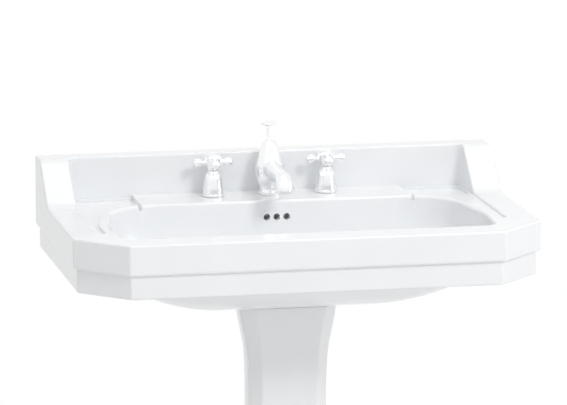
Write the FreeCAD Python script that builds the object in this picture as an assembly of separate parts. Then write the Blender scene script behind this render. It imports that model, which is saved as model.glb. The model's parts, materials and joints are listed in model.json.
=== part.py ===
import FreeCAD, Part
import math
import os

# Washbasin on a pedestal, with a three-hole tap set, pop-up waste and bottle trap.
# Millimetres. +Z is up from the floor, +X is to the right, +Y points to the wall.
# The origin is on the floor, midway between the basin's sides, its front and the wall.

# Clearances
overrun = 1.0
fit_gap = 0.1
running_gap = 0.05
seat_gap = 0.3

# Basin casting
rim_height = 850.0
basin_width = 800.0
basin_depth = 480.0
corner_cut = 82.0
fascia_corner_radius = 6.0
upper_fascia_height = 52.5
lower_fascia_height = 40.5
lower_fascia_inset = 7.0
basin_wall = 13.0
deck_thickness = 22.0
rim_round = 3.5
tier_round = 5.5
skirt_round = 4.0

# Upstand and its end wings
upstand_height = 70.0
upstand_thickness = 31.0
wing_width = 50.0
wing_top_depth = 48.0
wing_foot_depth = 126.0
wing_brow_radius = 24.0
wing_foot_radius = 40.0
well_corner_radius = 14.0
well_round = 3.0

# Shallow well inside the rim, soap dishes at its back, tap platform between them, the bowl's lip and drains
well_depth = 4.0
well_front_rim = 119.0
dish_depth = 9.0
dish_inset = 4.0
dish_front_from_wall = 120.0
platform_end_inset = 164.0
lip_width = 16.0
drain_width = 7.0

# Bowl: splays and corner radii are shares of its mouth from front to back
bowl_side_rim = 75.0
bowl_front_rim = 59.0
bowl_back_from_wall = 127.0
bowl_back_splay_share = 0.116
bowl_front_splay_share = 0.027
bowl_widest_share = 0.62
bowl_back_corner_share = 0.323
bowl_side_corner_share = 0.88
bowl_front_corner_share = 0.082
bowl_floor_corner_share = 0.235
bowl_round = 5.0
bowl_depth = 151.0
bowl_depth_shares = (0.0, 0.30, 0.555, 0.72, 0.845, 0.93, 0.98, 1.0)
bowl_width_shares = (1.0, 0.985, 0.91, 0.795, 0.66, 0.504, 0.336, 0.105)
bowl_length_shares = (1.0, 0.94, 0.84, 0.725, 0.60, 0.456, 0.304, 0.095)

# Overflow: holes in the bowl's back wall and the channel behind it
overflow_hole_radius = 5.8
overflow_hole_pitch = 17.5
overflow_hole_drop = 29.0
overflow_gap = 10.0
overflow_skin = 7.0
overflow_channel_width = 56.0

# Holes for the waste and for the wall bolts
waste_from_wall = 190.0
waste_hole_radius = 23.0
waste_boss_radius = 32.0
waste_boss_height = 38.0
waste_seat_depth = 2.0
wall_bolt_spacing = 280.0
wall_bolt_radius = 6.0
wall_bolt_drop = 62.0

# Pedestal: half plan of the shaft, of the flared head and of the flared foot
pedestal_wall = 12.0
pedestal_corner_radius = 5.0
pedestal_top_drop = 7.0
pedestal_back_from_wall = 100.0
shaft_front_half = 48.0
shaft_half = 68.0
shaft_front_from_wall = 240.0
shaft_cut_from_wall = 220.0
shaft_side_from_wall = 192.0
shaft_back_half = 50.0
head_front_half = 60.0
head_half = 84.0
head_front_from_wall = 246.0
head_cut_from_wall = 222.0
head_side_from_wall = 190.0
head_back_half = 62.0
foot_front_half = 66.0
foot_half = 92.0
foot_front_from_wall = 262.0
foot_cut_from_wall = 236.0
foot_side_from_wall = 180.0
foot_back_half = 74.0
plinth_height = 40.0
plinth_step = 16.0
upper_plinth_height = 24.0
upper_plinth_step = 4.0
foot_flare_height = 190.0
head_flare_height = 185.0
flare_height_shares = (0.0, 0.37, 0.51, 0.70, 0.89, 1.0)
flare_shares = (0.0, 0.08, 0.19, 0.56, 0.98, 1.16)
floor_lug_width = 30.0
floor_lug_thickness = 14.0
floor_lug_from_back = 12.0
floor_screw_radius = 4.0

# Tap valves: places, shank and lower body
tap_spacing = 200.0
tap_line_from_wall = 66.5
seal_thickness = 1.2
tap_hole_radius = 14.0
tap_shank_radius = 11.0
tap_shank_rise = 12.0
tap_seal_radius = 17.5
back_washer_thickness = 2.0
back_nut_height = 9.0
back_nut_flats = 34.0
valve_body_radius = 15.0
valve_body_height = 30.0
valve_body_drop = 100.0
valve_inlet_radius = 10.5
valve_inlet_length = 26.0
valve_bore_radius = 6.5

# Tap valves: cartridge, spindle, bell, handle and button
cartridge_radius = 7.8
cartridge_flange_radius = 10.8
cartridge_flange_height = 6.0
cartridge_depth = 20.0
cartridge_rise = 14.0
spindle_radius = 4.0
spindle_grip = 9.5
spindle_foot = 4.0
bell_height = 44.0
bell_flange_radius = 19.0
bell_flange_height = 3.2
bell_neck_bore = 5.0
bell_flank_shares = ((0.94, 0.085), (0.93, 0.15), (0.915, 0.28), (0.88, 0.43), (0.845, 0.57),
                     (0.80, 0.70), (0.73, 0.80), (0.62, 0.88), (0.52, 0.94), (0.49, 1.0))
handle_gap = 0.6
hub_height = 25.0
hub_radius = 15.3
hub_foot_radius = 9.6
hub_web = 4.0
hub_flank_shares = ((0.0, 0.0), (0.11, 0.16), (0.30, 0.33), (0.54, 0.50), (0.80, 0.66), (1.0, 0.82))
hub_edge = 1.5
arm_level = 13.5
arm_reach = 35.0
arm_radius = 7.8
arm_root_share = 0.32
arm_shares = ((0.32, 0.62), (0.42, 0.56), (0.54, 0.66), (0.66, 0.92), (0.76, 1.0),
              (0.88, 0.84), (0.97, 0.42), (1.0, 0.0))
button_radius = 12.4
button_seat_depth = 5.0
button_crown = 2.4
button_edge = 0.6
screw_radius = 2.0
screw_length = 9.0
screw_head_radius = 3.6
screw_head_height = 2.4

# Spout
spout_hole_radius = 18.5
spout_shank_radius = 17.0
spout_shank_drop = 60.0
spout_seal_radius = 20.5
spout_nut_flats = 48.0
spout_base_radius = 20.0
spout_base_height = 4.0
spout_belly_radius = 25.8
spout_height = 94.5
spout_flank_shares = ((0.70, 0.075), (0.725, 0.165), (0.88, 0.26), (0.975, 0.345), (1.0, 0.43), (0.95, 0.53),
                      (0.83, 0.63), (0.725, 0.73), (0.65, 0.81), (0.59, 0.875), (0.52, 0.93), (0.395, 0.972),
                      (0.21, 0.993), (0.0, 1.0))
spout_reach = 126.0
spout_arm_height = 45.5
spout_bend_radius = 16.0
spout_root_radius = 17.5
spout_neck_radius = 14.0
spout_mouth_radius = 15.4
spout_arm_shares = (0.0, 0.35, 0.7, 1.0)
spout_arm_taper_shares = (0.0, 0.5, 0.85, 1.0)
spout_bend_shares = (0.33, 0.67, 1.0)
spout_mouth_shares = (0.65, 1.0, 1.0)
spout_bore_radius = 6.0
outlet_ring_height = 5.5
outlet_ring_radius = 15.4
outlet_ring_wall = 2.2
aerator_hole_radius = 1.1
aerator_hole_count = 12
aerator_circle_share = 0.62

# Mixer tee and link pipes under the deck
spout_tail_radius = 6.2
spout_tail_length = 20.0
tee_radius = 9.0
tee_height = 32.0
link_spigot_radius = 7.4
link_spigot_length = 13.0
link_pipe_radius = 5.0
link_pipe_wall = 0.8
link_pipe_insertion = 8.0
link_nut_flats = 19.0
link_nut_length = 13.0
link_nut_grip = 8.0

# Pop-up linkage
lift_rod_offset = 12.5
lift_rod_radius = 2.6
lift_guide_radius = 4.6
lift_guide_share = 0.9
lift_travel = 20.0
knob_rise = 126.0
knob_height = 9.0
knob_radius = 14.0
knob_shares = ((0.28, 0.0), (0.32, 0.14), (0.64, 0.30), (0.96, 0.47), (1.0, 0.62), (0.85, 0.84),
               (0.48, 0.965), (0.0, 1.0))
knob_socket = 5.0
strap_width = 12.0
strap_thickness = 1.6
strap_hole_radius = 3.6
strap_hole_pitch = 12.0
strap_hole_count = 4
strap_margin = 9.0
clevis_width = 14.0
clevis_depth = 13.0
clevis_height = 14.0
clevis_screw_radius = 2.0
clevis_screw_head_radius = 5.0
clevis_screw_head_height = 4.0
clevis_drop = 118.0
pivot_drop = 81.0
pivot_offset = 26.0
pivot_rod_radius = 2.5
pivot_ball_radius = 7.0
pivot_rod_tail = 14.0
pivot_rod_nose = 5.0
clip_reach = 6.0
clip_thickness = 1.0
clip_height = 9.0
clip_side_gap = 1.6

# Waste fitting
waste_flange_radius = 31.5
waste_flange_height = 3.0
waste_seal_thickness = 2.0
waste_body_radius = 22.0
waste_bore_radius = 18.0
waste_body_drop = 107.0
waste_slot_width = 16.0
waste_slot_height = 9.0
waste_washer_thickness = 4.0
waste_nut_height = 10.0
waste_nut_flats = 56.0
pivot_boss_radius = 11.0
pivot_boss_length = 31.0
gland_nut_flats = 25.0
gland_nut_length = 11.0
gland_nut_grip = 6.0
gland_opening_radius = 5.5
gland_seal_thickness = 1.5

# Plug
plug_radius = 22.5
plug_crown = 5.0
plug_edge = 2.0
plug_lift_off = 1.6
plug_seal_radius = 16.8
plug_seal_thickness = 1.2
plug_stem_radius = 6.0
plug_stem_tail = 9.0
plug_eye_radius = 3.8

# Tailpipe and bottle trap
pipe_radius = 16.0
pipe_wall = 1.5
tailpipe_overlap = 12.0
trap_radius = 27.0
trap_wall = 3.0
trap_neck_radius = 20.0
trap_neck_height = 16.0
trap_head_drop = 147.0
trap_head_height = 58.0
trap_cup_height = 58.0
trap_cup_thread = 10.0
trap_cup_foot_radius = 9.0
trap_seal_thickness = 1.6
trap_nut_flats = 46.0
trap_nut_height = 14.0
trap_nut_grip = 10.0
trap_outlet_drop = 26.0
trap_outlet_length = 20.0
outlet_pipe_step = 1.0
dip_clearance = 18.0

# Places worked out from the driving dimensions
UP = FreeCAD.Vector(0, 0, 1)
DOWN = FreeCAD.Vector(0, 0, -1)
TO_WALL = FreeCAD.Vector(0, 1, 0)
TO_RIGHT = FreeCAD.Vector(1, 0, 0)
wall_y = basin_depth / 2
deck_underside = rim_height - deck_thickness
lower_fascia_top = rim_height - upper_fascia_height
skirt_bottom = lower_fascia_top - lower_fascia_height
floor_level = rim_height - bowl_depth
far_below = rim_height - 2 * bowl_depth
tap_y = wall_y - tap_line_from_wall
tap_x = tap_spacing / 2
waste_y = wall_y - waste_from_wall
mouth_length = basin_depth - bowl_back_from_wall - bowl_front_rim
waste_boss_bottom = floor_level - waste_boss_height
pedestal_top = floor_level - pedestal_top_drop
waste_seat = floor_level - waste_seat_depth
lift_rod_y = tap_y + lift_rod_offset
pivot_level = floor_level - pivot_drop
pivot_y = waste_y + pivot_offset
pivot_arm = lift_rod_y - pivot_y
pivot_tilt = math.atan(lift_travel / 2 / pivot_arm)
hub_bottom = rim_height + seal_thickness + bell_height + handle_gap
hub_top = hub_bottom + hub_height
link_level = rim_height - valve_body_drop + valve_body_height / 2


def vector(x, y, z):
    return FreeCAD.Vector(x, y, z)


def from_wall(distance):
    return wall_y - distance


# Shared building steps
def rounded_outline(corners):
    """Closed wire of straight runs; each corner is a point and the radius that rounds it."""
    count = len(corners)
    bends = []
    for index, (here, radius) in enumerate(corners):
        back = (corners[index - 1][0] - here).normalize()
        ahead = (corners[(index + 1) % count][0] - here).normalize()
        half_angle = back.getAngle(ahead) / 2
        reach = radius / math.tan(half_angle)
        inward = (back + ahead).normalize()
        middle = here + inward * (radius / math.sin(half_angle) - radius)
        bends.append((here + back * reach, middle, here + ahead * reach, radius))
    edges = []
    for index, (start, middle, end, radius) in enumerate(bends):
        edges.append(Part.makeLine(bends[index - 1][2], start))
        if radius:
            edges.append(Part.Arc(start, middle, end).toShape())
    return Part.Wire(edges)


def even_outline(points, radius):
    """Closed wire with the same radius at every corner."""
    return rounded_outline([(point, radius) for point in points])


def offset_points(points, offset):
    """Corners of a closed anticlockwise outline, moved outwards by offset."""
    count = len(points)
    moved = []
    for index, here in enumerate(points):
        before = (here - points[index - 1]).normalize()
        after = (points[(index + 1) % count] - here).normalize()
        outward = vector(before.y + after.y, -before.x - after.x, 0).normalize()
        stretch = outward.dot(vector(before.y, -before.x, 0))
        moved.append(here + outward * (offset / stretch))
    return moved


def lifted(wire, level):
    raised = wire.copy()
    raised.translate(vector(0, 0, level))
    return raised


def prism(outline, bottom, top):
    return Part.Face(lifted(outline, bottom)).extrude(vector(0, 0, top - bottom))


def rod(start, direction, length, radius):
    return Part.makeCylinder(radius, length, start, direction)


def tube(start, direction, length, outer, inner):
    before = start - direction * overrun
    return rod(start, direction, length, outer).cut(rod(before, direction, length + 2 * overrun, inner))


def hexagon(start, direction, length, flats):
    """Solid hexagonal bar of the given width across flats."""
    corner = flats / math.sqrt(3)
    points = []
    for step in range(6):
        angle = math.radians(60 * step)
        points.append(vector(corner * math.cos(angle), corner * math.sin(angle), 0))
    bar = prism(even_outline(points, 0), 0, length)
    bar.Placement = FreeCAD.Placement(start, FreeCAD.Rotation(UP, direction))
    return bar


def hex_nut(start, direction, length, flats, bore):
    before = start - direction * overrun
    nut = hexagon(start, direction, length, flats)
    return nut.cut(rod(before, direction, length + 2 * overrun, bore))


def stepped_nut(start, direction, length, flats, wide, grip, narrow):
    """Union nut: a wide bore over the thread at its start, a narrow one over the pipe."""
    nut = hex_nut(start, direction, length, flats, narrow)
    return nut.cut(rod(start - direction * overrun, direction, grip + overrun, wide))


def lathe(edges, x, y):
    """Solid turned about the vertical line at x, y from profile edges in the radius and height plane."""
    solid = Part.Face(Part.Wire(edges)).revolve(vector(0, 0, 0), UP)
    solid.translate(vector(x, y, 0))
    return Part.Solid(Part.Shell(solid.Faces))


def polyline(points):
    return [Part.makeLine(points[index], points[index + 1]) for index in range(len(points) - 1)]


def spline(points):
    curve = Part.BSplineCurve()
    curve.interpolate(points)
    return curve.toShape()


def crown_arc(edge, crown):
    """Arc of a ball's cap from its edge up to its top on the axis."""
    rise = crown.z - edge.z
    ball_radius = (edge.x ** 2 + rise ** 2) / (2 * rise)
    half_angle = math.asin(edge.x / ball_radius) / 2
    middle = vector(ball_radius * math.sin(half_angle), 0, crown.z - ball_radius * (1 - math.cos(half_angle)))
    return Part.Arc(edge, middle, crown).toShape()


def edge_middle(edge):
    return edge.valueAt((edge.FirstParameter + edge.LastParameter) / 2)


def edge_nearest(shape, point):
    """The edge whose middle lies nearest to a point; rounding it carries on along its tangents."""
    return min(shape.Edges, key=lambda edge: edge_middle(edge).distanceToPoint(point))


def rounded_from(shape, radius, points):
    return shape.makeFillet(radius, [edge_nearest(shape, point) for point in points])


def save(node, shape):
    shape.exportStep("parts/" + node + ".step")


# Basin
def basin_outline(inset, radius):
    """Plan of the fascia: square at the wall, cut corners in front."""
    half = basin_width / 2 - inset
    front = -wall_y + inset
    cut = corner_cut - inset * (2 - math.sqrt(2))
    points = [vector(half, wall_y, 0), vector(-half, wall_y, 0), vector(-half, front + cut, 0),
              vector(-half + cut, front, 0), vector(half - cut, front, 0), vector(half, front + cut, 0)]
    return rounded_outline(list(zip(points, (0, 0, radius, radius, radius, radius))))


def skirt_outline(inset, radius):
    """Plan of the hollow under the deck, which leaves a wall on all sides, the back too."""
    half = basin_width / 2 - inset
    front = -wall_y + inset
    back = wall_y - basin_wall
    cut = corner_cut - inset * (2 - math.sqrt(2))
    points = [vector(half, back, 0), vector(-half, back, 0), vector(-half, front + cut, 0),
              vector(-half + cut, front, 0), vector(half - cut, front, 0), vector(half, front + cut, 0)]
    return even_outline(points, radius)


def bowl_points(width_share, length_share):
    """Corners of the bowl at one depth, drawn in towards the waste, from the back right anticlockwise."""
    half = (basin_width / 2 - bowl_side_rim) * width_share
    back = waste_y + (from_wall(bowl_back_from_wall) - waste_y) * length_share
    front = back - mouth_length * length_share
    middle = back + (front - back) * bowl_widest_share
    back_half = half - mouth_length * bowl_back_splay_share * width_share
    front_half = half - mouth_length * bowl_front_splay_share * width_share
    return [vector(back_half, back, 0), vector(-back_half, back, 0), vector(-half, middle, 0),
            vector(-front_half, front, 0), vector(front_half, front, 0), vector(half, middle, 0)]


def bowl_lean(index):
    """Sideways and downward parts of the outward normal of the bowl's wall at one section."""
    if index == 0:
        return 1, 0
    after = min(index + 1, len(bowl_depth_shares) - 1)
    fall = (bowl_depth_shares[after] - bowl_depth_shares[index - 1]) * bowl_depth
    run = (bowl_width_shares[index - 1] - bowl_width_shares[after]) * (basin_width / 2 - bowl_side_rim)
    length = math.hypot(fall, run)
    return fall / length, run / length


def bowl_section(index, offset):
    """Outline of the bowl at one depth, moved outwards by offset."""
    depth_share = bowl_depth_shares[index]
    sideways, downward = bowl_lean(index)
    reach = mouth_length * bowl_length_shares[index]
    front_share = bowl_front_corner_share + (bowl_floor_corner_share - bowl_front_corner_share) * depth_share
    back, side, front = [reach * share + offset * sideways
                         for share in (bowl_back_corner_share, bowl_side_corner_share, front_share)]
    moved = offset_points(bowl_points(bowl_width_shares[index], bowl_length_shares[index]), offset * sideways)
    outline = rounded_outline(list(zip(moved, (back, back, side, front, front, side))))
    return lifted(outline, rim_height - bowl_depth * depth_share - offset * downward)


def bowl_shape(offset):
    """Space inside the bowl, or with an offset the bowl's outside."""
    sections = [bowl_section(index, offset) for index in range(len(bowl_depth_shares))]
    mouth = Part.Face(sections[0]).extrude(vector(0, 0, overrun))
    return Part.makeLoft(sections, True).fuse(mouth).removeSplitter()


def upstand_block():
    """Side profile of the wings, carried across the whole width."""
    top = rim_height + upstand_height
    bottom = rim_height - overrun
    foot = from_wall(wing_foot_depth + 2 * wing_foot_radius)
    corners = [(vector(0, wall_y, bottom), 0), (vector(0, foot, bottom), 0), (vector(0, foot, rim_height), 0),
               (vector(0, from_wall(wing_foot_depth), rim_height), wing_foot_radius),
               (vector(0, from_wall(wing_top_depth), top), wing_brow_radius), (vector(0, wall_y, top), 0)]
    block = Part.Face(rounded_outline(corners)).extrude(vector(basin_width, 0, 0))
    block.translate(vector(-basin_width / 2, 0, 0))
    return block


def sunk_space(front, depth, inset):
    """Space between the wings and the upstand as far as front, drawn in by inset and sunk by depth."""
    half = basin_width / 2 - wing_width - inset
    back = from_wall(upstand_thickness + inset)
    points = [vector(half, back, 0), vector(-half, back, 0), vector(-half, front, 0), vector(half, front, 0)]
    outline = even_outline(points, well_corner_radius)
    return prism(outline, rim_height - depth, rim_height + upstand_height + overrun)


def raised_deck():
    """Tap platform and the lip round the bowl."""
    half = basin_width / 2 - platform_end_inset
    back = from_wall(upstand_thickness) + overrun
    front = from_wall(bowl_back_from_wall)
    platform = Part.makeBox(2 * half, back - front, deck_thickness, vector(-half, front, deck_underside))
    lip = Part.Face(bowl_section(0, lip_width)).extrude(vector(0, 0, -deck_thickness))
    return platform.fuse(lip)


def dish_drains():
    """Slots through the lip at the ends of the platform, from each dish to the bowl."""
    half = basin_width / 2 - platform_end_inset
    corners = [vector(start, from_wall(bowl_back_from_wall + lip_width), rim_height - dish_depth)
               for start in (-half - drain_width, half)]
    return [Part.makeBox(drain_width, 2 * lip_width + overrun, deck_thickness, corner) for corner in corners]


def layer(bottom, top):
    """Slab as large as the basin's plan, for keeping what lies between two heights."""
    return Part.makeBox(basin_width, basin_depth, top - bottom, vector(-basin_width / 2, -wall_y, bottom))


def channel_box(width, top):
    """Upright slice of the space behind the waste, for the overflow channel."""
    corner = vector(-width / 2, waste_y, far_below)
    return Part.makeBox(width, wall_y - waste_y, top - far_below, corner)


def basin_fascia():
    """Two-tier fascia and upstand with the deck sunk between them, edges rounded."""
    upper = prism(basin_outline(0, fascia_corner_radius), lower_fascia_top, rim_height)
    lower = prism(basin_outline(lower_fascia_inset, fascia_corner_radius), skirt_bottom, lower_fascia_top)
    body = upper.fuse([lower, upstand_block()]).removeSplitter()
    body = body.cut(sunk_space(-wall_y + well_front_rim, well_depth, 0))
    body = rounded_from(body, rim_round, [vector(0, -wall_y, rim_height)])
    body = rounded_from(body, tier_round, [vector(0, -wall_y, lower_fascia_top)])
    body = rounded_from(body, skirt_round, [vector(0, -wall_y + lower_fascia_inset, skirt_bottom)])
    inner_half = basin_width / 2 - wing_width
    upstand_edge = vector(0, from_wall(upstand_thickness), rim_height + upstand_height)
    body = rounded_from(body, well_round, [vector(0, -wall_y + well_front_rim, rim_height), upstand_edge,
                                           vector(inner_half, 0, rim_height),
                                           vector(-inner_half, 0, rim_height)])
    return body.cut(sunk_space(from_wall(dish_front_from_wall), dish_depth, dish_inset))


def basin_holes():
    holes = [rod(vector(0, waste_y, far_below), UP, bowl_depth, waste_hole_radius),
             rod(vector(0, waste_y, waste_seat), UP, bowl_depth / 2, waste_flange_radius + overrun),
             rod(vector(0, tap_y, deck_underside - overrun), UP, deck_thickness + 2 * overrun,
                 spout_hole_radius)]
    for side in (-1, 1):
        holes.append(rod(vector(side * tap_x, tap_y, deck_underside - overrun), UP,
                         deck_thickness + 2 * overrun, tap_hole_radius))
        holes.append(rod(vector(side * wall_bolt_spacing / 2, wall_y - basin_wall - overrun,
                                rim_height - wall_bolt_drop), TO_WALL, basin_wall + 2 * overrun,
                                wall_bolt_radius))
    for step in (-1, 0, 1):
        start = vector(step * overflow_hole_pitch, from_wall(bowl_back_from_wall) - basin_wall,
                       rim_height - overflow_hole_drop)
        holes.append(rod(start, TO_WALL, 2 * basin_wall, overflow_hole_radius))
    return holes + dish_drains()


def basin():
    inside = bowl_shape(0)
    outside = bowl_shape(basin_wall)
    body = basin_fascia().fuse(raised_deck())
    hollow = prism(skirt_outline(lower_fascia_inset + basin_wall, fascia_corner_radius),
                   skirt_bottom - overrun, deck_underside)
    body = body.cut(hollow.cut(outside)).fuse(outside.common(layer(far_below, deck_underside)))
    skin_width = overflow_channel_width + 2 * overflow_skin
    skin_box = channel_box(skin_width, deck_underside)
    skin = bowl_shape(basin_wall + overflow_gap + overflow_skin).common(skin_box)
    gap_top = rim_height - overflow_hole_drop + 2 * overflow_hole_radius
    gap = bowl_shape(basin_wall + overflow_gap).cut(outside)
    gap = gap.common(channel_box(overflow_channel_width, gap_top))
    boss = rod(vector(0, waste_y, waste_boss_bottom), UP, waste_boss_height, waste_boss_radius)
    body = body.fuse(skin).fuse(boss).cut(inside).cut(gap).removeSplitter()
    body = rounded_from(body, bowl_round, [vector(0, -wall_y + bowl_front_rim, rim_height)])
    return body.cut(basin_holes())


# Pedestal
def plan_points(front_half, half, front, cut, side, back_half):
    """Eight-sided plan, anticlockwise; front, cut and side are distances from the wall."""
    back = from_wall(pedestal_back_from_wall) + pedestal_wall
    right = [vector(front_half, from_wall(front), 0), vector(half, from_wall(cut), 0),
             vector(half, from_wall(side), 0), vector(back_half, back, 0)]
    left = [vector(-point.x, point.y, 0) for point in reversed(right)]
    return right + left


def shaft_points():
    return plan_points(shaft_front_half, shaft_half, shaft_front_from_wall, shaft_cut_from_wall,
                       shaft_side_from_wall, shaft_back_half)


def head_points():
    return plan_points(head_front_half, head_half, head_front_from_wall, head_cut_from_wall,
                       head_side_from_wall, head_back_half)


def foot_points():
    return plan_points(foot_front_half, foot_half, foot_front_from_wall, foot_cut_from_wall,
                       foot_side_from_wall, foot_back_half)


def blended(start, end, share):
    return [here + (there - here) * share for here, there in zip(start, end)]


def pedestal_shaft(inset):
    """Shaft that flares to its foot and its head; an inset gives the space inside it."""
    shaft_bottom = plinth_height + upper_plinth_height
    stations = []
    for height_share, flare_share in zip(reversed(flare_height_shares), reversed(flare_shares)):
        level = shaft_bottom + foot_flare_height * (1 - height_share)
        stations.append((level, blended(shaft_points(), foot_points(), flare_share / flare_shares[-1])))
    for height_share, flare_share in zip(flare_height_shares, flare_shares):
        level = pedestal_top - head_flare_height * (1 - height_share)
        stations.append((level, blended(shaft_points(), head_points(), flare_share)))
    return Part.makeLoft([plan_outline(points, -inset, level) for level, points in stations], True)


def plan_outline(points, offset, level):
    return lifted(even_outline(offset_points(points, offset), pedestal_corner_radius), level)


def foot_block(offset, bottom, top):
    return Part.Face(plan_outline(foot_points(), offset, bottom)).extrude(vector(0, 0, top - bottom))


def floor_screw_x():
    return foot_back_half - pedestal_wall - floor_lug_width / 2


def floor_lugs(inside):
    """Two ears inside the foot, one at each side of its back, for the floor screws."""
    lugs = []
    back = from_wall(pedestal_back_from_wall) - floor_lug_from_back
    for side in (-1, 1):
        middle = side * (floor_screw_x() + floor_lug_width)
        corner = vector(middle - 3 * floor_lug_width / 2, back - floor_lug_width, 0)
        ear = Part.makeBox(3 * floor_lug_width, floor_lug_width, floor_lug_thickness, corner)
        lugs.append(ear.common(inside))
    return lugs


def pedestal():
    """Hollow shaft on two plinths, open at the back, its top hollowed to the bowl's underside."""
    shaft_bottom = plinth_height + upper_plinth_height
    lower_plinth = foot_block(plinth_step, 0, plinth_height)
    upper_plinth = foot_block(upper_plinth_step, plinth_height, shaft_bottom)
    outside = pedestal_shaft(0).fuse([lower_plinth, upper_plinth])
    foot_inside = foot_block(-pedestal_wall, -overrun, shaft_bottom)
    inside = pedestal_shaft(pedestal_wall).fuse(foot_inside)
    behind = Part.makeBox(basin_width, basin_depth, rim_height,
                          vector(-basin_width / 2, from_wall(pedestal_back_from_wall), -overrun))
    lug_y = from_wall(pedestal_back_from_wall) - floor_lug_from_back - floor_lug_width / 2
    holes = [rod(vector(side * floor_screw_x(), lug_y, -overrun), UP,
                 floor_lug_thickness + 2 * overrun, floor_screw_radius) for side in (-1, 1)]
    body = outside.cut(inside).cut(behind).fuse(floor_lugs(foot_inside)).cut(holes)
    return body.cut(bowl_shape(basin_wall + seat_gap)).removeSplitter()


# Tap valves
def valve_body(side):
    """Threaded shank through the deck, lower body with an inlet tail below and an outlet to the spout."""
    x = side * tap_x
    bottom = rim_height - valve_body_drop
    top = rim_height + tap_shank_rise
    shank = rod(vector(x, tap_y, bottom), UP, top - bottom, tap_shank_radius)
    lower = rod(vector(x, tap_y, bottom), UP, valve_body_height, valve_body_radius)
    tail = rod(vector(x, tap_y, bottom - valve_inlet_length), UP, valve_inlet_length, valve_inlet_radius)
    to_spout = vector(-side, 0, 0)
    spigot_length = valve_body_radius + link_spigot_length
    spigot = rod(vector(x, tap_y, link_level), to_spout, spigot_length, link_spigot_radius)
    bore = rod(vector(x, tap_y, bottom - valve_inlet_length - overrun), UP,
               top - bottom + valve_inlet_length - cartridge_depth, valve_bore_radius)
    pocket = rod(vector(x, tap_y, top - cartridge_depth - fit_gap), UP, cartridge_depth + fit_gap + overrun,
                 cartridge_radius + fit_gap)
    side_bore = rod(vector(x, tap_y, link_level), to_spout, spigot_length + overrun,
                    link_pipe_radius + fit_gap)
    return shank.fuse([lower, tail, spigot]).cut([bore, pocket, side_bore]).removeSplitter()


def cartridge(side):
    """Headwork with a flange on the shank's top and a bore for the spindle."""
    x = side * tap_x
    seat = rim_height + tap_shank_rise
    barrel = rod(vector(x, tap_y, seat - cartridge_depth), UP, cartridge_depth + cartridge_rise,
                 cartridge_radius)
    flange = rod(vector(x, tap_y, seat), UP, cartridge_flange_height, cartridge_flange_radius)
    bore_foot = seat - cartridge_depth + spindle_foot
    bore = rod(vector(x, tap_y, bore_foot), UP, cartridge_depth + cartridge_rise,
               spindle_radius + running_gap)
    return barrel.fuse(flange).cut(bore).removeSplitter()


def spindle(side):
    x = side * tap_x
    bottom = rim_height + tap_shank_rise - cartridge_depth + spindle_foot + seat_gap
    top = hub_bottom + spindle_grip
    thread = rod(vector(x, tap_y, top - screw_length), UP, screw_length + overrun, screw_radius + fit_gap)
    return rod(vector(x, tap_y, bottom), UP, top - bottom, spindle_radius).cut(thread)


def bell_shroud(side):
    """Flanged bell over the cartridge, narrowing to a neck round the spindle."""
    base = rim_height + seal_thickness
    top = base + bell_height
    flank = [vector(bell_flange_radius * radius_share, 0, base + bell_height * height_share)
             for radius_share, height_share in bell_flank_shares]
    shank_bore = tap_shank_radius + fit_gap
    inner_bore = cartridge_radius + fit_gap
    step = rim_height + tap_shank_rise + cartridge_flange_height + seat_gap
    shoulder = rim_height + tap_shank_rise + cartridge_rise + seat_gap
    outer = [vector(shank_bore, 0, base), vector(bell_flange_radius, 0, base),
             vector(bell_flange_radius, 0, base + bell_flange_height), flank[0]]
    inner = [flank[-1], vector(bell_neck_bore, 0, top), vector(bell_neck_bore, 0, shoulder),
             vector(inner_bore, 0, shoulder), vector(inner_bore, 0, step), vector(shank_bore, 0, step),
             outer[0]]
    return lathe(polyline(outer) + [spline(flank)] + polyline(inner), side * tap_x, tap_y)


def handle_arm(direction):
    """Arm with an egg-shaped end, turned about its own axis."""
    points = [vector(arm_radius * radius_share, 0, arm_reach * reach_share)
              for reach_share, radius_share in arm_shares]
    root = vector(0, 0, arm_reach * arm_root_share)
    arm = lathe([Part.makeLine(root, points[0]), spline(points), Part.makeLine(points[-1], root)], 0, 0)
    arm.Placement = FreeCAD.Placement(vector(0, 0, 0), FreeCAD.Rotation(UP, direction))
    return arm


def cross_handle(side):
    """Hub with four arms, a socket for the spindle and a seat for the index button."""
    growth = hub_radius - hub_foot_radius
    flank = [vector(hub_foot_radius + growth * radius_share, 0, hub_bottom + hub_height * height_share)
             for radius_share, height_share in hub_flank_shares]
    seat = hub_top - button_seat_depth
    socket_top = hub_bottom + spindle_grip + fit_gap
    web_top = socket_top + hub_web
    head_bore = screw_head_radius + seat_gap
    outer = [flank[-1], vector(hub_radius, 0, hub_top - hub_edge), vector(hub_radius - hub_edge, 0, hub_top),
             vector(button_radius + fit_gap, 0, hub_top), vector(button_radius + fit_gap, 0, seat),
             vector(head_bore, 0, seat), vector(head_bore, 0, web_top),
             vector(screw_radius + fit_gap, 0, web_top),
             vector(screw_radius + fit_gap, 0, socket_top), vector(spindle_radius + fit_gap, 0, socket_top),
             vector(spindle_radius + fit_gap, 0, hub_bottom), flank[0]]
    handle = lathe([spline(flank)] + polyline(outer), side * tap_x, tap_y)
    arms = []
    for direction in (TO_RIGHT, -TO_RIGHT, TO_WALL, -TO_WALL):
        arm = handle_arm(direction)
        arm.translate(vector(side * tap_x, tap_y, hub_bottom + arm_level))
        arms.append(arm)
    pocket = rod(vector(side * tap_x, tap_y, seat), UP, button_seat_depth + overrun, button_radius + fit_gap)
    return handle.fuse(arms).cut(pocket).removeSplitter()


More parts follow.
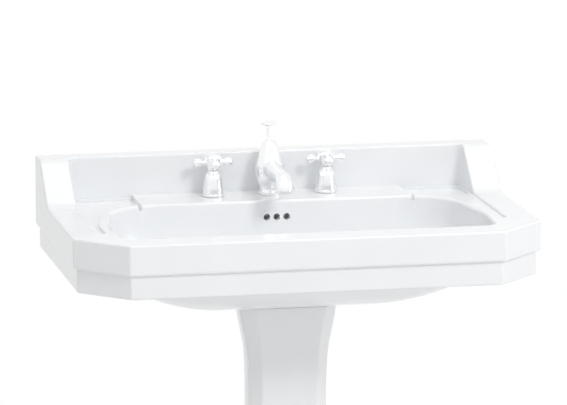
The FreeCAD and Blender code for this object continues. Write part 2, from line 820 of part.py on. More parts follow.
def index_button(side):
    """Plain crowned button that closes the hub."""
    seat = hub_top - button_seat_depth
    edge = vector(button_radius, 0, hub_top + button_edge)
    crown = vector(0, 0, hub_top + button_crown)
    points = [crown, vector(0, 0, seat), vector(button_radius, 0, seat), edge]
    return lathe(polyline(points) + [crown_arc(edge, crown)], side * tap_x, tap_y)


def handle_screw(side):
    x = side * tap_x
    seat = hub_bottom + spindle_grip + fit_gap + hub_web
    length = screw_length + hub_web
    shank = rod(vector(x, tap_y, seat - length), UP, length, screw_radius)
    return shank.fuse(rod(vector(x, tap_y, seat), UP, screw_head_height, screw_head_radius)).removeSplitter()


def on_both_taps(make):
    return Part.makeCompound([make(side * tap_x) for side in (-1, 1)])


def tap_seal_washers():
    return on_both_taps(lambda x: tube(vector(x, tap_y, rim_height), UP, seal_thickness,
                                       tap_seal_radius, tap_shank_radius + fit_gap))


def tap_back_washers():
    return on_both_taps(lambda x: tube(vector(x, tap_y, deck_underside), DOWN, back_washer_thickness,
                                       back_nut_flats / 2, tap_shank_radius + fit_gap))


def tap_back_nuts():
    top = deck_underside - back_washer_thickness
    return on_both_taps(lambda x: hex_nut(vector(x, tap_y, top), DOWN, back_nut_height,
                                          back_nut_flats, tap_shank_radius + fit_gap))


# Spout
def spout_arm_sections(trim):
    """Circles along the arm: straight out over the bowl, then bending down; trim thins them."""
    level = rim_height + spout_arm_height
    straight = spout_reach - spout_bend_radius
    sections = []
    for share, taper_share in zip(spout_arm_shares, spout_arm_taper_shares):
        radius = spout_root_radius + (spout_neck_radius - spout_root_radius) * taper_share - trim
        sections.append((vector(0, tap_y - straight * share, level), -TO_WALL, radius))
    for share, mouth_share in zip(spout_bend_shares, spout_mouth_shares):
        radius = spout_neck_radius + (spout_mouth_radius - spout_neck_radius) * mouth_share - trim
        angle = math.radians(90) * share
        ahead = spout_bend_radius * math.sin(angle)
        fall = spout_bend_radius * (1 - math.cos(angle))
        direction = vector(0, -math.cos(angle), -math.sin(angle))
        sections.append((vector(0, tap_y - straight - ahead, level - fall), direction, radius))
    return [Part.Wire(Part.makeCircle(radius, centre, direction)) for centre, direction, radius in sections]


def spout_column():
    base = rim_height + seal_thickness
    flank = [vector(spout_belly_radius * radius_share, 0, base + spout_height * height_share)
             for radius_share, height_share in spout_flank_shares]
    shoulder = vector(spout_base_radius, 0, base + spout_base_height)
    foot = [flank[-1], vector(0, 0, base), vector(spout_base_radius, 0, base), shoulder, flank[0]]
    return lathe([spline(flank)] + polyline(foot), 0, tap_y)


def spout_body():
    """Domed column, arm over the bowl, threaded shank, tail, and a guide behind it for the lift rod."""
    shank_bottom = rim_height - spout_shank_drop
    shank = rod(vector(0, tap_y, shank_bottom), UP, spout_shank_drop + seal_thickness, spout_shank_radius)
    tail = rod(vector(0, tap_y, shank_bottom - spout_tail_length), UP, spout_tail_length, spout_tail_radius)
    arm = Part.makeLoft(spout_arm_sections(0), True)
    waterway = Part.makeLoft(spout_arm_sections(spout_neck_radius - spout_bore_radius), True)
    bore_bottom = shank_bottom - spout_tail_length - overrun
    bore_radius = spout_tail_radius - link_pipe_wall
    bore = rod(vector(0, tap_y, bore_bottom), UP, rim_height + spout_arm_height - bore_bottom, bore_radius)
    rod_way = rod(vector(0, lift_rod_y, shank_bottom - overrun), UP,
                  spout_shank_drop + spout_height + knob_rise,
                  lift_rod_radius + running_gap)
    guide = rod(vector(0, lift_rod_y, rim_height + seal_thickness), UP, spout_height * lift_guide_share,
                lift_guide_radius)
    body = spout_column().fuse([arm, guide, shank, tail])
    return body.cut([waterway, bore, rod_way]).removeSplitter()


def outlet_top():
    return rim_height + spout_arm_height - spout_bend_radius


def outlet_ring():
    """Ring on the spout's mouth that holds the aerator."""
    start = vector(0, tap_y - spout_reach, outlet_top())
    ring = tube(start, DOWN, outlet_ring_height, outlet_ring_radius, outlet_ring_radius - outlet_ring_wall)
    lower_edge = vector(outlet_ring_radius, start.y, start.z - outlet_ring_height)
    return rounded_from(ring, outlet_ring_wall / 2, [lower_edge])


def aerator():
    """Perforated disc inside the outlet ring."""
    radius = outlet_ring_radius - outlet_ring_wall - fit_gap
    start = vector(0, tap_y - spout_reach, outlet_top())
    disc = rod(start, DOWN, outlet_ring_height / 2, radius)
    holes = []
    for step in range(aerator_hole_count):
        angle = math.radians(360 * step / aerator_hole_count)
        reach = radius * aerator_circle_share
        place = start + vector(reach * math.cos(angle), reach * math.sin(angle), overrun)
        holes.append(rod(place, DOWN, outlet_ring_height, aerator_hole_radius))
    return disc.cut(holes)


def spout_seal_washer():
    return tube(vector(0, tap_y, rim_height), UP, seal_thickness, spout_seal_radius,
                spout_shank_radius + fit_gap)


def spout_back_washer():
    return tube(vector(0, tap_y, deck_underside), DOWN, back_washer_thickness, spout_nut_flats / 2,
                spout_shank_radius + fit_gap)


def spout_back_nut():
    return hex_nut(vector(0, tap_y, deck_underside - back_washer_thickness), DOWN, back_nut_height,
                   spout_nut_flats, spout_shank_radius + fit_gap)


# Mixer tee and link pipes
def mixer_tee():
    """Tee on the spout's tail, with a spigot towards each valve."""
    top = link_level + tee_height / 2
    body = rod(vector(0, tap_y, link_level - tee_height / 2), UP, tee_height, tee_radius)
    reach = tee_radius + link_spigot_length
    cross = rod(vector(-reach, tap_y, link_level), TO_RIGHT, 2 * reach, link_spigot_radius)
    socket_depth = top - (rim_height - spout_shank_drop - spout_tail_length)
    socket = rod(vector(0, tap_y, top + overrun), DOWN, socket_depth + overrun + fit_gap,
                 spout_tail_radius + fit_gap)
    way = rod(vector(0, tap_y, link_level), UP, tee_height, link_pipe_radius)
    cross_bore = rod(vector(-reach - overrun, tap_y, link_level), TO_RIGHT, 2 * (reach + overrun),
                     link_pipe_radius + fit_gap)
    return body.fuse(cross).cut([socket, way, cross_bore]).removeSplitter()


def link_ends():
    """Distances from the middle to the tee's spigot end and to the valve's spigot end."""
    return tee_radius + link_spigot_length, tap_x - valve_body_radius - link_spigot_length


def link_pipe(side):
    near, far = link_ends()
    start = near - link_pipe_insertion
    length = far + link_pipe_insertion - start
    return tube(vector(side * start, tap_y, link_level), vector(side, 0, 0), length,
                link_pipe_radius, link_pipe_radius - link_pipe_wall)


def link_pipe_nuts():
    near, far = link_ends()
    nuts = []
    for side in (-1, 1):
        for place, way in ((near - link_nut_grip, side), (far + link_nut_grip, -side)):
            nuts.append(stepped_nut(vector(side * place, tap_y, link_level), vector(way, 0, 0),
                                    link_nut_length,
                                    link_nut_flats, link_spigot_radius + fit_gap, link_nut_grip,
                                    link_pipe_radius + fit_gap))
    return Part.makeCompound(nuts)


# Pop-up linkage, drawn with the knob raised and the plug down
def lift_rod():
    bottom = rim_height - clevis_drop
    top = rim_height + knob_rise - knob_height + knob_socket
    return rod(vector(0, lift_rod_y, bottom), UP, top - bottom, lift_rod_radius)


def lift_knob():
    base = rim_height + knob_rise - knob_height
    flank = [vector(knob_radius * radius_share, 0, base + knob_height * height_share)
             for radius_share, height_share in knob_shares]
    knob = lathe([spline(flank)] + polyline([flank[-1], vector(0, 0, base), flank[0]]), 0, lift_rod_y)
    socket = rod(vector(0, lift_rod_y, base - overrun), UP, knob_socket + overrun, lift_rod_radius + fit_gap)
    return knob.cut(socket)


def strap_eye_level():
    return pivot_level + pivot_arm * math.tan(pivot_tilt)


def clevis_strap():
    """Block clamped on the lift rod, with a drilled strap hanging down to the pivot rod."""
    top = rim_height - clevis_drop + clevis_height
    block = Part.makeBox(clevis_width, clevis_depth, clevis_height,
                         vector(-clevis_width / 2, lift_rod_y - clevis_depth / 2, top - clevis_height))
    bottom = strap_eye_level() - strap_margin
    strap = Part.makeBox(strap_width, strap_thickness, top - bottom,
                         vector(-strap_width / 2, lift_rod_y - strap_thickness / 2, bottom))
    body = block.fuse(strap)
    cuts = [rod(vector(0, lift_rod_y, top - clevis_height), UP, clevis_height + overrun,
                lift_rod_radius + fit_gap),
            rod(vector(0, lift_rod_y, top - clevis_height / 2), -TO_WALL, clevis_depth,
                clevis_screw_radius + fit_gap)]
    for step in range(strap_hole_count):
        level = strap_eye_level() + strap_hole_pitch * step
        cuts.append(rod(vector(0, lift_rod_y - strap_thickness, level), TO_WALL, 2 * strap_thickness,
                        strap_hole_radius))
    return body.cut(cuts).removeSplitter()


def clevis_screw():
    """Thumb screw that clamps the block on the lift rod."""
    level = rim_height - clevis_drop + clevis_height / 2
    face = vector(0, lift_rod_y - clevis_depth / 2, level)
    length = clevis_depth / 2 - lift_rod_radius - fit_gap
    shank = rod(face, TO_WALL, length, clevis_screw_radius)
    return shank.fuse(rod(face, -TO_WALL, clevis_screw_head_height,
                          clevis_screw_head_radius)).removeSplitter()


def tilted(shape):
    """A piece drawn level along the pivot rod, turned to the rod's slope about the ball."""
    turned = shape.copy()
    turned.rotate(vector(0, pivot_y, pivot_level), TO_RIGHT, math.degrees(pivot_tilt))
    return turned


def pivot_rod():
    start = waste_y - pivot_rod_nose
    length = lift_rod_y + pivot_rod_tail - start
    bar = rod(vector(0, start, pivot_level), TO_WALL, length, pivot_rod_radius)
    ball = Part.makeSphere(pivot_ball_radius, vector(0, pivot_y, pivot_level))
    return tilted(bar.fuse(ball)).removeSplitter()


def spring_clip():
    """Bent strip with two holed ears on the pivot rod, one on each side of the strap."""
    inner = strap_width / 2 + clip_side_gap
    eye_y = pivot_y + pivot_arm / math.cos(pivot_tilt)
    corner = vector(-inner, eye_y - clip_reach, pivot_level - clip_height / 2)
    block = Part.makeBox(2 * inner + clip_thickness, 2 * clip_reach, clip_height, corner)
    gap_corner = vector(-inner - overrun, eye_y - clip_reach + clip_thickness, pivot_level - clip_height)
    gap = Part.makeBox(2 * inner + overrun, 2 * (clip_reach - clip_thickness), 2 * clip_height, gap_corner)
    hole = rod(vector(0, eye_y - 2 * clip_reach, pivot_level), TO_WALL, 4 * clip_reach,
               pivot_rod_radius + fit_gap)
    return tilted(block.cut(gap).cut(hole))


# Waste fitting and plug
def flange_bottom():
    return waste_seat + waste_seal_thickness


def waste_body():
    """Flanged tube through the bowl's floor, slotted for the overflow, with a boss for the pivot ball."""
    seat = flange_bottom()
    bottom = floor_level - waste_body_drop
    flange = rod(vector(0, waste_y, seat), UP, waste_flange_height, waste_flange_radius)
    flange = rounded_from(flange, waste_flange_height / 2,
                          [vector(-waste_flange_radius, waste_y, seat + waste_flange_height)])
    barrel = rod(vector(0, waste_y, bottom), UP, seat - bottom, waste_body_radius)
    boss = rod(vector(0, waste_y, pivot_level), TO_WALL, pivot_boss_length, pivot_boss_radius)
    bore = rod(vector(0, waste_y, bottom + tailpipe_overlap), UP, seat - bottom + waste_flange_height,
               waste_bore_radius)
    socket = rod(vector(0, waste_y, bottom - overrun), UP, tailpipe_overlap + 2 * overrun,
                 pipe_radius + fit_gap)
    ball_bore = rod(vector(0, waste_y, pivot_level), TO_WALL, pivot_boss_length + overrun,
                    pivot_ball_radius + running_gap)
    slot = Part.makeBox(2 * (waste_body_radius + overrun), waste_slot_width, waste_slot_height,
                        vector(-waste_body_radius - overrun, waste_y - waste_slot_width / 2,
                               waste_boss_bottom + waste_slot_height))
    return flange.fuse([barrel, boss]).cut([bore, socket, ball_bore, slot]).removeSplitter()


def waste_flange_seal():
    return tube(vector(0, waste_y, waste_seat), UP, waste_seal_thickness, waste_flange_radius,
                waste_body_radius + fit_gap)


def waste_back_washer():
    return tube(vector(0, waste_y, waste_boss_bottom), DOWN, waste_washer_thickness, waste_boss_radius,
                waste_body_radius + fit_gap)


def waste_back_nut():
    return hex_nut(vector(0, waste_y, waste_boss_bottom - waste_washer_thickness), DOWN, waste_nut_height,
                   waste_nut_flats, waste_body_radius + fit_gap)


def pivot_gland_nut():
    start = vector(0, waste_y + pivot_boss_length - gland_nut_grip, pivot_level)
    return stepped_nut(start, TO_WALL, gland_nut_length, gland_nut_flats, pivot_boss_radius + fit_gap,
                       gland_nut_grip + gland_seal_thickness, gland_opening_radius)


def pivot_seal():
    """Ring between the boss's end and the gland nut's end wall."""
    start = vector(0, waste_y + pivot_boss_length, pivot_level)
    return tube(start, TO_WALL, gland_seal_thickness, pivot_boss_radius, pivot_ball_radius + running_gap)


def plug_bottom():
    return flange_bottom() + waste_flange_height + plug_lift_off


def plug():
    """Crowned head over the flange, with a stem whose eye takes the pivot rod's nose."""
    bottom = plug_bottom()
    edge = vector(plug_radius, 0, bottom + plug_edge)
    crown = vector(0, 0, bottom + plug_crown)
    outline = polyline([crown, vector(0, 0, bottom), vector(plug_radius, 0, bottom), edge])
    head = lathe(outline + [crown_arc(edge, crown)], 0, waste_y)
    eye_level = pivot_level - pivot_offset * math.tan(pivot_tilt)
    stem_bottom = eye_level - plug_stem_tail
    stem = rod(vector(0, waste_y, stem_bottom), UP, bottom - stem_bottom, plug_stem_radius)
    eye = rod(vector(0, waste_y - 2 * plug_stem_radius, eye_level), TO_WALL, 4 * plug_stem_radius,
              plug_eye_radius)
    return head.fuse(stem).cut(eye).removeSplitter()


def plug_seal():
    return tube(vector(0, waste_y, plug_bottom()), DOWN, plug_seal_thickness,
                plug_seal_radius + waste_flange_height,
                plug_stem_radius + fit_gap)


# Tailpipe and bottle trap
trap_top = floor_level - trap_head_drop
trap_joint = trap_top - trap_head_height
cup_bottom = trap_joint - trap_seal_thickness - trap_cup_height
outlet_level = trap_top - trap_outlet_drop


def waste_tailpipe():
    """Pipe from the waste fitting down into the trap's cup."""
    top = floor_level - waste_body_drop + tailpipe_overlap
    bottom = cup_bottom + trap_wall + dip_clearance
    return tube(vector(0, waste_y, bottom), UP, top - bottom, pipe_radius, pipe_radius - pipe_wall)


def trap_body():
    """Head of the trap: neck round the tailpipe, chamber and outlet towards the wall."""
    chamber = rod(vector(0, waste_y, trap_joint), UP, trap_head_height, trap_radius)
    neck = rod(vector(0, waste_y, trap_top), UP, trap_neck_height, trap_neck_radius)
    outlet = rod(vector(0, waste_y, outlet_level), TO_WALL, trap_radius + trap_outlet_length,
                 trap_neck_radius)
    thread = rod(vector(0, waste_y, trap_joint - trap_cup_thread), UP, trap_cup_thread,
                 trap_radius - trap_wall - fit_gap)
    inside = rod(vector(0, waste_y, trap_joint - trap_cup_thread - overrun), UP,
                 trap_head_height + trap_cup_thread + overrun - trap_wall, trap_radius - 2 * trap_wall)
    neck_bore = rod(vector(0, waste_y, trap_joint), UP, trap_head_height + trap_neck_height + overrun,
                    pipe_radius + fit_gap)
    outlet_bore = rod(vector(0, waste_y, outlet_level), TO_WALL, trap_radius + trap_outlet_length + overrun,
                      pipe_radius + fit_gap)
    return chamber.fuse([neck, outlet, thread]).cut([inside, neck_bore, outlet_bore]).removeSplitter()


def trap_cup():
    """Screw-off cup that holds the water seal."""
    top = trap_joint - trap_seal_thickness
    cup = rod(vector(0, waste_y, cup_bottom), UP, trap_cup_height, trap_radius)
    cup = rounded_from(cup, trap_cup_foot_radius, [vector(-trap_radius, waste_y, cup_bottom)])
    return cup.cut(rod(vector(0, waste_y, cup_bottom + trap_wall), UP, top - cup_bottom,
                       trap_radius - trap_wall))


def trap_cup_seal():
    return tube(vector(0, waste_y, trap_joint - trap_seal_thickness), UP, trap_seal_thickness, trap_radius,
                trap_radius - trap_wall)


def trap_nut(start, direction):
    return stepped_nut(start - direction * trap_nut_grip, direction, trap_nut_height, trap_nut_flats,
                       trap_neck_radius + fit_gap, trap_nut_grip + trap_seal_thickness, pipe_radius + fit_gap)


def neck_end():
    return vector(0, waste_y, trap_top + trap_neck_height)


def outlet_end():
    return vector(0, waste_y + trap_radius + trap_outlet_length, outlet_level)


def joint_seal(start, direction):
    return tube(start, direction, trap_seal_thickness, trap_neck_radius, pipe_radius + fit_gap)


def outlet_pipe():
    """Pipe from the trap to the wall, a step thicker beyond the nut."""
    start = waste_y + trap_radius
    shoulder = start + trap_outlet_length + trap_nut_height - trap_nut_grip + 2 * overrun
    inner = pipe_radius - pipe_wall
    gripped = tube(vector(0, start, outlet_level), TO_WALL, shoulder - start, pipe_radius, inner)
    free = tube(vector(0, shoulder, outlet_level), TO_WALL, wall_y - shoulder,
                pipe_radius + outlet_pipe_step, inner)
    return gripped.fuse(free).removeSplitter()


def build():
    os.makedirs("parts", exist_ok=True)
    save("basin", basin())
    save("pedestal", pedestal())
    for name, side in (("hot", -1), ("cold", 1)):
        save(name + "_valve_body", valve_body(side))
        save(name + "_cartridge", cartridge(side))
        save(name + "_spindle", spindle(side))
        save(name + "_bell_shroud", bell_shroud(side))
        save(name + "_cross_handle", cross_handle(side))
        save(name + "_index_button", index_button(side))
        save(name + "_handle_screw", handle_screw(side))
        save(name + "_link_pipe", link_pipe(side))
    save("tap_seal_washers", tap_seal_washers())
    save("tap_back_washers", tap_back_washers())
    save("tap_back_nuts", tap_back_nuts())
    save("spout_body", spout_body())
    save("spout_outlet_ring", outlet_ring())
    save("spout_aerator", aerator())
    save("spout_seal_washer", spout_seal_washer())
    save("spout_back_washer", spout_back_washer())
    save("spout_back_nut", spout_back_nut())
    save("mixer_tee", mixer_tee())
    save("link_pipe_nuts", link_pipe_nuts())
    save("lift_rod", lift_rod())
    save("lift_knob", lift_knob())
    save("clevis_strap", clevis_strap())
    save("clevis_screw", clevis_screw())
    save("pivot_rod", pivot_rod())
    save("spring_clip", spring_clip())
    save("waste_body", waste_body())
    save("waste_flange_seal", waste_flange_seal())
    save("waste_back_washer", waste_back_washer())
    save("waste_back_nut", waste_back_nut())
    save("pivot_gland_nut", pivot_gland_nut())
    save("pivot_seal", pivot_seal())
    save("plug", plug())
    save("plug_seal", plug_seal())
    save("waste_tailpipe", waste_tailpipe())
    save("trap_body", trap_body())
    save("trap_cup", trap_cup())
    save("trap_cup_seal", trap_cup_seal())
    save("trap_inlet_nut", trap_nut(neck_end(), UP))
    save("trap_inlet_seal", joint_seal(neck_end(), UP))
    save("trap_outlet_nut", trap_nut(outlet_end(), TO_WALL))
    save("trap_outlet_seal", joint_seal(outlet_end(), TO_WALL))
    save("outlet_pipe", outlet_pipe())


build()
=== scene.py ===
"""Studio scene of a pedestal washbasin, laid out as an add-on with one operator for each kind of piece."""
import json
import math

import bmesh
import bpy
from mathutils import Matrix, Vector


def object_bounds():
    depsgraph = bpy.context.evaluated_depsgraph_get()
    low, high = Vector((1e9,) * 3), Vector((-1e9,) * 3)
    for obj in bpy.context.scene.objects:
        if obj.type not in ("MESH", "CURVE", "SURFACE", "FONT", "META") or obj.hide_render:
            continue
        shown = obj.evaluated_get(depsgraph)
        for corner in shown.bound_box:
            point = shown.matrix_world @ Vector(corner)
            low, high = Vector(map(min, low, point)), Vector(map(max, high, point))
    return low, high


bl_info = {
    "name": "Pedestal washbasin",
    "version": (1, 0, 0),
    "blender": (4, 5, 0),
    "location": "3D View > Sidebar > Washbasin",
    "description": "Dresses the packed washbasin in glaze, chrome and brass, and sets it in a studio",
    "category": "Object",
}

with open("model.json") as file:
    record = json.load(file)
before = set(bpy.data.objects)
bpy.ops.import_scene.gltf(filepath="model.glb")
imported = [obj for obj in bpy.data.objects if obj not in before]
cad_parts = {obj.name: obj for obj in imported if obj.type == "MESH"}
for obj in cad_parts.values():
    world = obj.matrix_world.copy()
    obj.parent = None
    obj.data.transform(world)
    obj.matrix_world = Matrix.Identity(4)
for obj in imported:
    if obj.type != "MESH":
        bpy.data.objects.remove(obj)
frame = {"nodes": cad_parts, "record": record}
cad_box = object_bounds()

# Part of a noise's range over which a finish goes from one value to the other
WANDER_START, WANDER_END = 0.3, 0.7

# Bare clay: where it starts before the wall face and above the floor, and where its ragged edge ends, in metres
CLAY_FROM_WALL, CLAY_WALL_EDGE = 0.0012, 0.0004
CLAY_FROM_FLOOR, CLAY_FLOOR_EDGE = 0.002, 0.0005
CLAY_EDGE_GRAIN = 35.0
CLAY_GRAIN = 160.0
CLAY_SHADE = 0.9
CLAY_ROUGHNESS = 0.9

# Glaze: scale of its clouding, its gloss and its ripple, and the clear coat over it
GLAZE_CLOUD_GRAIN = 9.0
GLAZE_GLOSS_GRAIN = 60.0
GLAZE_RIPPLE_GRAIN = 22.0
GLAZE_SPECULAR = 0.35
COAT_WEIGHT, COAT_ROUGHNESS = 0.12, 0.04

# Finishes by record slot: colour, the darker colour that it wanders to, roughness, and scale of the grain
CHROME_GRAIN = 40.0
BRASS = {"name": "plain_brass", "colour": (0.72, 0.55, 0.27), "shade": (0.60, 0.44, 0.20),
         "roughness": 0.28, "grain": 60.0}
PIPES_AND_SCREWS = {
    "copper": {"name": "copper_pipe", "colour": (0.74, 0.42, 0.28), "shade": (0.62, 0.33, 0.21),
               "roughness": 0.25, "grain": 50.0},
    "steel": {"name": "brushed_steel", "colour": (0.60, 0.61, 0.62), "shade": (0.50, 0.51, 0.52),
              "roughness": 0.30, "grain": 80.0},
}
SEALS_AND_TRAP = {
    "rubber": {"name": "black_rubber", "colour": (0.035, 0.035, 0.035), "shade": (0.02, 0.02, 0.02),
               "roughness": 0.6, "grain": 120.0},
    "fibre": {"name": "red_fibre", "colour": (0.36, 0.12, 0.08), "shade": (0.27, 0.08, 0.05),
              "roughness": 0.75, "grain": 200.0},
    "white_plastic": {"name": "white_trap_plastic", "colour": (0.82, 0.82, 0.81), "shade": (0.77, 0.77, 0.76),
                      "roughness": 0.35, "grain": 90.0},
    "grey_plastic": {"name": "grey_plastic", "colour": (0.30, 0.30, 0.31), "shade": (0.24, 0.24, 0.25),
                     "roughness": 0.5, "grain": 150.0},
}
# A wave texture of scale 1 has this many rings in a length of tau
WAVE_RINGS = 20.0

# Floor: half its width, its paint, and how its shadow near the foot fades with distance, in metres
FLOOR_HALF_WIDTH = 60.0
FLOOR_TONES = ((0.90, 0.90, 0.90), (0.92, 0.92, 0.92))
FLOOR_GRAIN = 3.0
FLOOR_ROUGHNESS = 0.7
SHADOW_FADE_START, SHADOW_FADE_END = 0.7, 1.9
SHADOW_LIFT = 0.55
SHADOW_GREY = (0.5, 0.5, 0.5, 1.0)
WHITE = (1.0, 1.0, 1.0, 1.0)

# Lights: the point that they face, then each one's place, width and height, and the property with its power
LIT_POINT = (0.0, 0.0, 0.85)
LIGHTS = {
    "key_softbox": ((1.31, -3.09, 3.4), (0.9, 0.9), "key_power"),
    "fill_softbox": ((-2.2, -2.53, 3.05), (1.4, 1.4), "fill_power"),
    "right_strip": ((3.4, -1.1, 1.2), (0.8, 1.5), "right_power"),
    "top_softbox": ((0.0, -0.2, 3.9), (2.4, 1.8), "top_power"),
}
SENSOR_WIDTH = 36.0
FURTHEST_SEEN = 100.0


class WashbasinFinishes(bpy.types.PropertyGroup):
    """Colours and gloss of the ceramic and the metals."""

    glaze_colour: bpy.props.FloatVectorProperty(
        name="Glaze", description="Colour of the glazed ceramic", subtype="COLOR", min=0.0, max=1.0,
        default=(0.866, 0.878, 0.89))
    glaze_shade: bpy.props.FloatVectorProperty(
        name="Glaze shade", description="Colour of the glaze where it lies thicker", subtype="COLOR", min=0.0,
        max=1.0, default=(0.842, 0.855, 0.869))
    glaze_roughness: bpy.props.FloatProperty(
        name="Glaze roughness", description="Roughness under the clear coat", default=0.16, min=0.0, max=1.0)
    biscuit_colour: bpy.props.FloatVectorProperty(
        name="Biscuit", description="Colour of the bare fired clay", subtype="COLOR", min=0.0, max=1.0,
        default=(0.76, 0.71, 0.63))
    chrome_colour: bpy.props.FloatVectorProperty(
        name="Chrome", description="Colour of the plated metal", subtype="COLOR", min=0.0, max=1.0,
        default=(0.94, 0.945, 0.95))
    chrome_shade: bpy.props.FloatVectorProperty(
        name="Chrome shade", description="Colour of the plated metal where it is dulled", subtype="COLOR",
        min=0.0, max=1.0, default=(0.90, 0.905, 0.915))
    chrome_roughness: bpy.props.FloatProperty(
        name="Chrome roughness", description="Roughness of the plated metal", default=0.2, min=0.0, max=1.0)
    thread_pitch: bpy.props.FloatProperty(
        name="Thread pitch", description="Spacing of the turned rings on plain metal", subtype="DISTANCE",
        unit="LENGTH", default=0.0016, min=0.0002)


class WashbasinStudio(bpy.types.PropertyGroup):
    """Camera and lights."""

    camera_place: bpy.props.FloatVectorProperty(
        name="Camera", description="Where the camera stands", subtype="TRANSLATION", unit="LENGTH",
        default=(-1.652, -7.902, 2.395))
    camera_yaw: bpy.props.FloatProperty(
        name="Yaw", description="Turn of the view to the right of straight ahead", subtype="ANGLE",
        default=math.radians(11.73))
    camera_pitch: bpy.props.FloatProperty(
        name="Pitch", description="Tilt of the view below level", subtype="ANGLE", default=math.radians(10.72))
    camera_lens: bpy.props.FloatProperty(
        name="Lens", description="Focal length in millimetres", default=306.6, min=1.0)
    key_power: bpy.props.FloatProperty(
        name="Key light", description="Power of the softbox in front on the right", unit="POWER", default=54.0,
        min=0.0)
    fill_power: bpy.props.FloatProperty(
        name="Fill light", description="Power of the softbox in front on the left", unit="POWER", default=9.0,
        min=0.0)
    right_power: bpy.props.FloatProperty(
        name="Right strip", description="Power of the strip light on the right", unit="POWER", default=14.0,
        min=0.0)
    top_power: bpy.props.FloatProperty(
        name="Top light", description="Power of the softbox overhead", unit="POWER", default=24.0, min=0.0)
    world_strength: bpy.props.FloatProperty(
        name="Room light", description="Strength of the even light from all round", default=0.58, min=0.0)


def new_material(name):
    """Material with a Principled shader; returns it with its node tree and the shader."""
    material = bpy.data.materials.new(name)
    material.use_nodes = True
    return material, material.node_tree, material.node_tree.nodes["Principled BSDF"]


def noise(tree, scale, detail):
    """Noise on Object coordinates, which a piece keeps from any side."""
    place = tree.nodes.new("ShaderNodeTexCoord")
    texture = tree.nodes.new("ShaderNodeTexNoise")
    texture.inputs["Scale"].default_value = scale
    texture.inputs["Detail"].default_value = detail
    tree.links.new(place.outputs["Object"], texture.inputs["Vector"])
    return texture.outputs["Fac"]


def colour_between(tree, factor, low, high):
    """Colour that wanders between two values with a factor."""
    ramp = tree.nodes.new("ShaderNodeValToRGB")
    ramp.color_ramp.elements[0].position = WANDER_START
    ramp.color_ramp.elements[1].position = WANDER_END
    ramp.color_ramp.elements[0].color = (*low, 1.0)
    ramp.color_ramp.elements[1].color = (*high, 1.0)
    tree.links.new(factor, ramp.inputs["Fac"])
    return ramp.outputs["Color"]


def value_between(tree, factor, low, high):
    """Number that wanders between two values with a factor."""
    spread = tree.nodes.new("ShaderNodeMapRange")
    spread.inputs["From Min"].default_value = WANDER_START
    spread.inputs["From Max"].default_value = WANDER_END
    spread.inputs["To Min"].default_value = low
    spread.inputs["To Max"].default_value = high
    tree.links.new(factor, spread.inputs["Value"])
    return spread.outputs["Result"]


def bump(tree, shader, factor, strength, distance):
    """Fine relief on the shader's normal."""
    relief = tree.nodes.new("ShaderNodeBump")
    relief.inputs["Strength"].default_value = strength
    relief.inputs["Distance"].default_value = distance
    tree.links.new(factor, relief.inputs["Height"])
    tree.links.new(relief.outputs["Normal"], shader.inputs["Normal"])


def past(tree, axis, start, end):
    """Factor that rises from 0 to 1 as one Object coordinate goes from start to end, with a ragged edge."""
    place = tree.nodes.new("ShaderNodeTexCoord")
    parts = tree.nodes.new("ShaderNodeSeparateXYZ")
    tree.links.new(place.outputs["Object"], parts.inputs["Vector"])
    wander = tree.nodes.new("ShaderNodeMath")
    wander.operation = "MULTIPLY_ADD"
    wander.inputs[1].default_value = end - start
    tree.links.new(noise(tree, CLAY_EDGE_GRAIN, detail=2.0), wander.inputs[0])
    tree.links.new(parts.outputs[axis], wander.inputs[2])
    step = tree.nodes.new("ShaderNodeMapRange")
    step.inputs["From Min"].default_value = start
    step.inputs["From Max"].default_value = end
    tree.links.new(wander.outputs["Value"], step.inputs["Value"])
    return step.outputs["Result"]


def blended(tree, factor, low, high, kind):
    """Colour or number that goes from low to high with a factor; each is a socket or a plain value."""
    mix = tree.nodes.new("ShaderNodeMix")
    mix.data_type = kind
    first, second, result = {"RGBA": (6, 7, 2), "FLOAT": (2, 3, 0)}[kind]
    tree.links.new(factor, mix.inputs[0])
    for index, value in ((first, low), (second, high)):
        if isinstance(value, bpy.types.NodeSocket):
            tree.links.new(value, mix.inputs[index])
        else:
            mix.inputs[index].default_value = value
    return mix.outputs[result]


def glazed_ceramic(finishes):
    """White glaze, faintly clouded and with a fired surface's slow ripple; bare clay at the wall and the floor."""
    material, tree, shader = new_material("white_glaze")
    cloud = noise(tree, GLAZE_CLOUD_GRAIN, detail=3.0)
    glaze = colour_between(tree, cloud, finishes.glaze_shade, finishes.glaze_colour)
    wall_face = cad_box[1][1]
    at_wall = past(tree, "Y", wall_face - CLAY_FROM_WALL, wall_face - CLAY_WALL_EDGE)
    at_floor = past(tree, "Z", CLAY_FROM_FLOOR, CLAY_FLOOR_EDGE)
    bare = tree.nodes.new("ShaderNodeMath")
    bare.operation = "MAXIMUM"
    tree.links.new(at_wall, bare.inputs[0])
    tree.links.new(at_floor, bare.inputs[1])
    clay = colour_between(tree, noise(tree, CLAY_GRAIN, detail=5.0),
                          [CLAY_SHADE * part for part in finishes.biscuit_colour], finishes.biscuit_colour)
    colour = blended(tree, bare.outputs["Value"], glaze, clay, "RGBA")
    tree.links.new(colour, shader.inputs["Base Color"])
    gloss = value_between(tree, noise(tree, GLAZE_GLOSS_GRAIN, detail=4.0), low=finishes.glaze_roughness * 0.8,
                          high=finishes.glaze_roughness * 1.25)
    rough = blended(tree, bare.outputs["Value"], gloss, CLAY_ROUGHNESS, "FLOAT")
    tree.links.new(rough, shader.inputs["Roughness"])
    shader.inputs["Specular IOR Level"].default_value = GLAZE_SPECULAR
    shader.inputs["Coat Weight"].default_value = COAT_WEIGHT
    shader.inputs["Coat Roughness"].default_value = COAT_ROUGHNESS
    bump(tree, shader, noise(tree, GLAZE_RIPPLE_GRAIN, detail=2.0), strength=0.03, distance=0.002)
    return material


